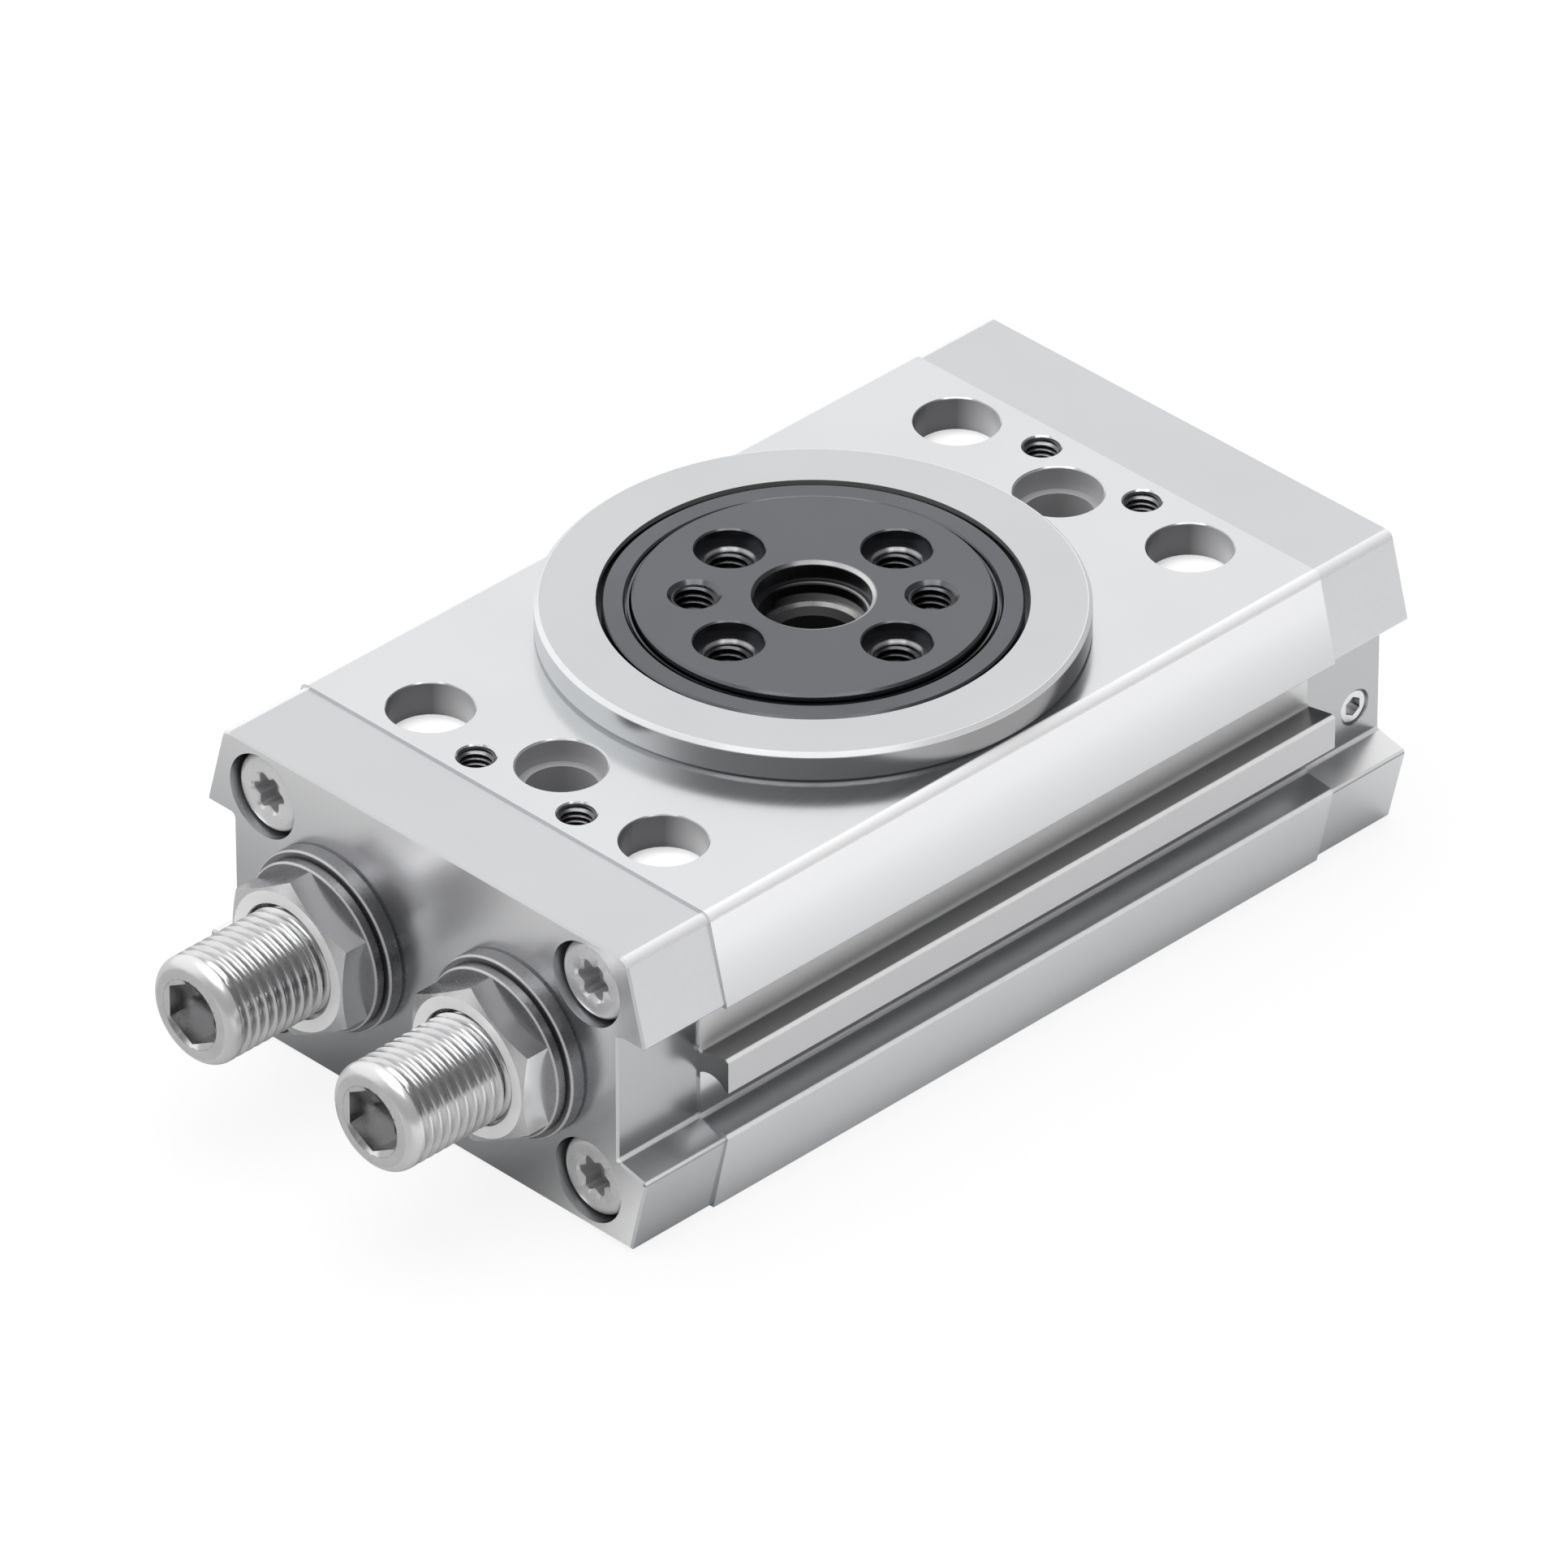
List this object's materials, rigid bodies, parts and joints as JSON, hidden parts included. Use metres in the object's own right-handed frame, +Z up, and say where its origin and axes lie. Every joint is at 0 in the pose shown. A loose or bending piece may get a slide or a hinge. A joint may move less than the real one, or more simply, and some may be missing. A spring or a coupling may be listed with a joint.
{
  "type": "semi-rotary actuator",
  "caption": "Air driven semi-rotary unit: paired rack pistons turn a hollow shaft and a bored flange on top of a flat grooved housing with screw stops.",
  "frame": {"origin": "on the flange axis, in the plane of the housing's underside", "axes": "+Z up along the flange axis, the pistons run along Y and the adjusting screws stand out towards -Y"},
  "size_m": [0.0796, 0.1619, 0.0489],
  "materials": {
    "housing_metal": "clear anodised extrusion, satin",
    "cap_metal": "clear anodised casting, satin and a little darker",
    "collar_metal": "turned and anodised, satin",
    "flange_steel": "ground steel, dark and satin with bright chamfers",
    "fastener_steel": "bright zinc plated steel",
    "gear_steel": "machined and hardened steel",
    "bearing_steel": "ground and polished bearing steel",
    "cage_plastic": "moulded plastic, natural colour",
    "seal_rubber": "black nitrile rubber",
    "buffer_rubber": "dark elastic polyurethane",
    "magnet_material": "dark bonded magnet"
  },
  "bodies": {
    "housing_body": {"housing": "housing_metal", "front_cap": "cap_metal", "rear_cap": "cap_metal", "port_plugs": "fastener_steel", "front_cap_screws": "fastener_steel", "rear_cap_screws": "fastener_steel", "front_cap_sealing_rings": "seal_rubber", "rear_cap_sealing_rings": "seal_rubber", "centring_collar": "collar_metal", "bearing_cover_ring": "flange_steel", "upper_bearing_outer_ring": "bearing_steel", "lower_bearing_outer_ring": "bearing_steel", "shaft_seal": "seal_rubber", "left_sealing_washer": "fastener_steel", "left_plain_washer": "fastener_steel", "left_lock_nut": "fastener_steel", "right_sealing_washer": "fastener_steel", "right_plain_washer": "fastener_steel", "right_lock_nut": "fastener_steel"},
    "flange_body": {"drive_flange": "flange_steel", "pinion_shaft": "gear_steel", "upper_bearing_inner_ring": "bearing_steel", "lower_bearing_inner_ring": "bearing_steel", "shaft_circlip": "gear_steel"},
    "upper_cage_body": {"upper_bearing_cage": "cage_plastic", "upper_bearing_balls": "bearing_steel"},
    "lower_cage_body": {"lower_bearing_cage": "cage_plastic", "lower_bearing_balls": "bearing_steel"},
    "left_piston_body": {"left_piston": "gear_steel", "left_piston_guide_rings": "cage_plastic", "left_piston_seals": "seal_rubber", "left_piston_magnet": "magnet_material"},
    "left_stop_body": {"left_stop_buffer": "buffer_rubber"},
    "left_screw_body": {"left_adjusting_screw": "fastener_steel"},
    "right_piston_body": {"right_piston": "gear_steel", "right_piston_guide_rings": "cage_plastic", "right_piston_seals": "seal_rubber", "right_piston_magnet": "magnet_material"},
    "right_stop_body": {"right_stop_buffer": "buffer_rubber"},
    "right_screw_body": {"right_adjusting_screw": "fastener_steel"}
  },
  "joints": [
    {"name": "flange_turn", "type": "hinge", "parent": "housing_body", "child": "flange_body", "pos_m": [0, 0, 0.0375], "axis": [0, 0, 1], "range_deg": [-90, 90]},
    {"name": "upper_cage_turn", "type": "hinge", "parent": "housing_body", "child": "upper_cage_body", "pos_m": [0, 0, 0.0375], "axis": [0, 0, 1], "range_deg": [-41.7, 41.7]},
    {"name": "lower_cage_turn", "type": "hinge", "parent": "housing_body", "child": "lower_cage_body", "pos_m": [0, 0, 0.0085], "axis": [0, 0, 1], "range_deg": [-39.6, 39.6]},
    {"name": "left_piston_slide", "type": "slide", "parent": "housing_body", "child": "left_piston_body", "axis": [0, 1, 0], "range_m": [-0.0142, 0.0142]},
    {"name": "left_stop_travel", "type": "slide", "parent": "housing_body", "child": "left_stop_body", "axis": [0, -1, 0], "range_m": [0, 0.0045]},
    {"name": "left_screw_turn", "type": "hinge", "parent": "left_stop_body", "child": "left_screw_body", "pos_m": [-0.01625, -0.085, 0.022], "axis": [0, -1, 0], "range_deg": [-3, 1083]},
    {"name": "right_piston_slide", "type": "slide", "parent": "housing_body", "child": "right_piston_body", "axis": [0, 1, 0], "range_m": [-0.0142, 0.0142]},
    {"name": "right_stop_travel", "type": "slide", "parent": "housing_body", "child": "right_stop_body", "axis": [0, -1, 0], "range_m": [0, 0.0045]},
    {"name": "right_screw_turn", "type": "hinge", "parent": "right_stop_body", "child": "right_screw_body", "pos_m": [0.01625, -0.085, 0.022], "axis": [0, -1, 0], "range_deg": [-3, 1083]}
  ],
  "couplings": [
    {"joint": "upper_cage_turn", "follows": "flange_turn", "ratio": 0.46196},
    {"joint": "lower_cage_turn", "follows": "flange_turn", "ratio": 0.43846},
    {"joint": "left_piston_slide", "follows": "flange_turn", "m_per_rad": -0.009},
    {"joint": "left_screw_turn", "follows": "left_stop_travel", "rad_per_m": 4188.8},
    {"joint": "right_piston_slide", "follows": "flange_turn", "m_per_rad": 0.009},
    {"joint": "right_screw_turn", "follows": "right_stop_travel", "rad_per_m": 4188.8}
  ]
}
